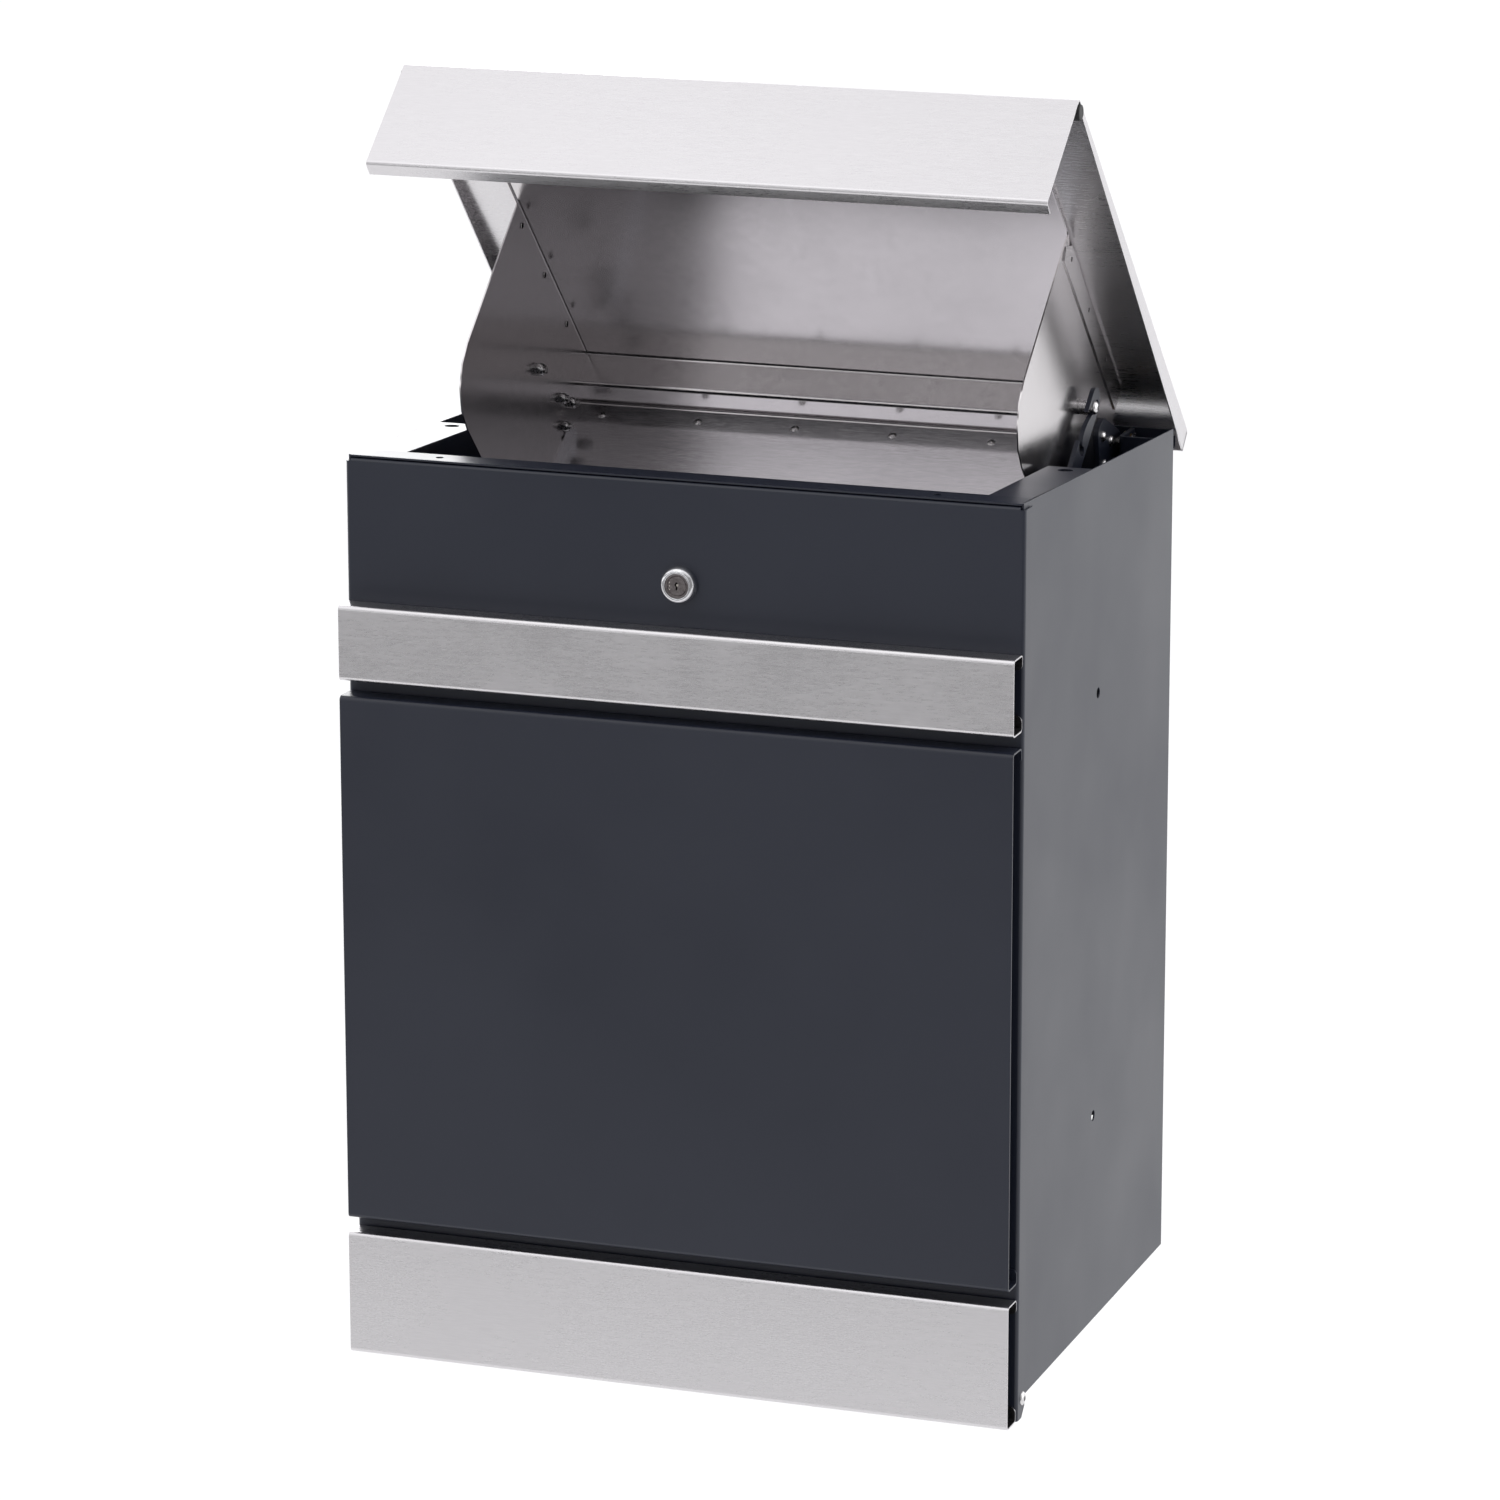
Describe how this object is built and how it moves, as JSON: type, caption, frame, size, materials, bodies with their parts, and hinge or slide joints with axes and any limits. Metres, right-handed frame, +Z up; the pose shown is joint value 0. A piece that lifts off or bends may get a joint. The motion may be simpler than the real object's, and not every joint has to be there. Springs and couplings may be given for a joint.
{
  "type": "parcel drop box",
  "caption": "Sheet-steel parcel drop box for a wall, with a rear-hinged lid that carries a parcel hopper and a lockable bottom-hinged front door.",
  "frame": {"origin": "centre of the four wall holes, on the outside of the back panel", "axes": "+X to the object's left-hand side seen from the wall (viewer's right), +Y out of the back into the wall, +Z up"},
  "size_m": [0.4538, 0.3804, 0.8264],
  "materials": {
    "paint": "fine-texture anthracite powder coat",
    "stainless": "brushed stainless steel",
    "chrome": "polished chrome",
    "zinc": "bright zinc plate",
    "bush": "sintered bronze",
    "rubber": "black rubber"
  },
  "bodies": {
    "case": {"side_panel_left": "paint", "side_panel_right": "paint", "back_panel": "paint", "floor_panel": "paint", "front_rail": "paint", "rear_gutter": "paint", "hinge_bracket_left": "paint", "hinge_bracket_right": "paint", "hinge_bushes": "bush", "stay_posts": "zinc", "stay_screws": "zinc"},
    "door": {"door_shell": "paint", "upper_strip": "stainless", "front_panel": "paint", "lower_strip": "stainless", "cover_rivets": "zinc", "door_stiffener": "paint", "door_pivot_screws": "zinc", "door_pivot_nuts": "zinc", "lock_body": "chrome", "lock_nut": "zinc"},
    "lock": {"lock_plug": "chrome", "lock_cam": "zinc", "lock_cam_screw": "zinc"},
    "lid": {"lid_shell": "stainless", "corner_buffers": "rubber", "hopper_back": "stainless", "hopper_side_left": "stainless", "hopper_side_right": "stainless", "hopper_tray": "stainless", "hopper_rivets": "zinc", "tray_rivets": "zinc", "hinge_arm_left": "paint", "hinge_arm_right": "paint", "hinge_pins": "zinc", "hinge_clips": "zinc", "hinge_bolts": "zinc", "hinge_nuts": "zinc", "stay_bolts": "zinc", "stay_spacers": "zinc", "stay_nuts": "zinc"},
    "stay_left": {"stay_arm_left": "paint"},
    "stay_right": {"stay_arm_right": "paint"}
  },
  "joints": [
    {"name": "door_hinge", "type": "hinge", "parent": "case", "child": "door", "pos_m": [0, -0.3225, -0.282], "axis": [1, 0, 0], "range_deg": [0, 90]},
    {"name": "lock_turn", "type": "hinge", "parent": "door", "child": "lock", "pos_m": [0, -0.33, 0.232], "axis": [0, 1, 0], "range_deg": [0, 90]},
    {"name": "lid_hinge", "type": "hinge", "parent": "case", "child": "lid", "pos_m": [0, -0.015, 0.273], "axis": [1, 0, 0], "range_deg": [0, 45.2]},
    {"name": "stay_left_turn", "type": "hinge", "parent": "case", "child": "stay_left", "pos_m": [-0.196, -0.21172, 0.21569], "axis": [1, 0, 0], "range_deg": [-26.5, 0.5]},
    {"name": "stay_right_turn", "type": "hinge", "parent": "case", "child": "stay_right", "pos_m": [0.196, -0.21172, 0.21569], "axis": [1, 0, 0], "range_deg": [-26.5, 0.5]}
  ],
  "couplings": [
    {"joint": "stay_left_turn", "follows": "lid_hinge", "ratio": -0.58},
    {"joint": "stay_right_turn", "follows": "lid_hinge", "ratio": -0.58}
  ]
}
